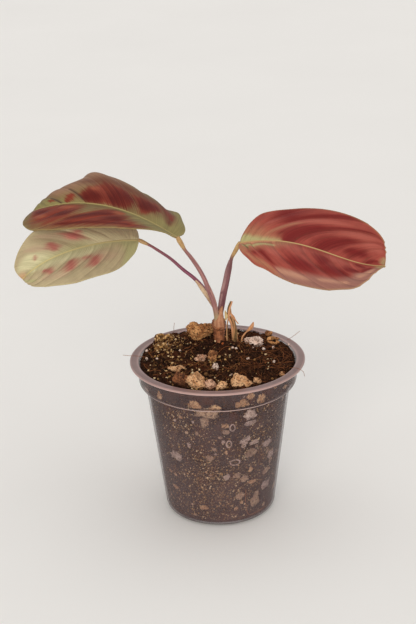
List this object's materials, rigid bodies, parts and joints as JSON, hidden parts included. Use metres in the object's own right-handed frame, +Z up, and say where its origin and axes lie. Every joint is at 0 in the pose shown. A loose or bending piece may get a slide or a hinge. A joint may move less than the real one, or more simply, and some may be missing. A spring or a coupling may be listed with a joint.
{
  "type": "potted prayer plant",
  "caption": "Small prayer plant with patterned oval leaves on slender stalks, rooted in chippy soil in a clear tapered nursery pot with a wide lip.",
  "frame": {"origin": "centre of the pot's flat underside, on the surface it stands on", "axes": "+Z up; -Y is the front, the side seen in the picture; +X is to the right, towards the tip of the red leaf"},
  "size_m": [0.1831, 0.1156, 0.1666],
  "materials": {
    "clear_plastic": "satin",
    "dark_soil": "matte",
    "papery_sheath": "matte",
    "mauve_stalk": "satin",
    "red_blade": "satin",
    "blotched_blade": "satin",
    "pale_blade": "satin",
    "dried_tissue": "matte",
    "tan_bark": "matte",
    "brown_bark": "matte",
    "cream_pumice": "matte",
    "white_perlite": "matte"
  },
  "bodies": {
    "root": {"pot": "clear_plastic", "soil": "dark_soil", "crown": "papery_sheath", "stalk_right": "mauve_stalk", "stalk_upper": "mauve_stalk", "stalk_lower": "mauve_stalk", "leaf_right": "red_blade", "leaf_upper": "blotched_blade", "leaf_lower": "pale_blade", "dried_sheath": "dried_tissue", "dried_stalk": "dried_tissue", "chip_bark_chunk": "tan_bark", "chip_perlite_lump": "white_perlite", "chip_ring": "tan_bark", "chip_brown_back": "brown_bark", "chip_left_back": "tan_bark", "chip_left_middle": "tan_bark", "chip_left_front": "tan_bark", "chip_centre_left": "tan_bark", "chip_centre": "brown_bark", "chip_perlite_small": "white_perlite", "chip_flat": "tan_bark", "chip_brown_front": "brown_bark", "chip_tan_front": "tan_bark", "chip_beige_front": "tan_bark", "chip_beige_corner": "tan_bark", "chip_cream_front": "cream_pumice", "chip_orange_front": "tan_bark", "chip_rim_right": "cream_pumice"}
  },
  "joints": []
}
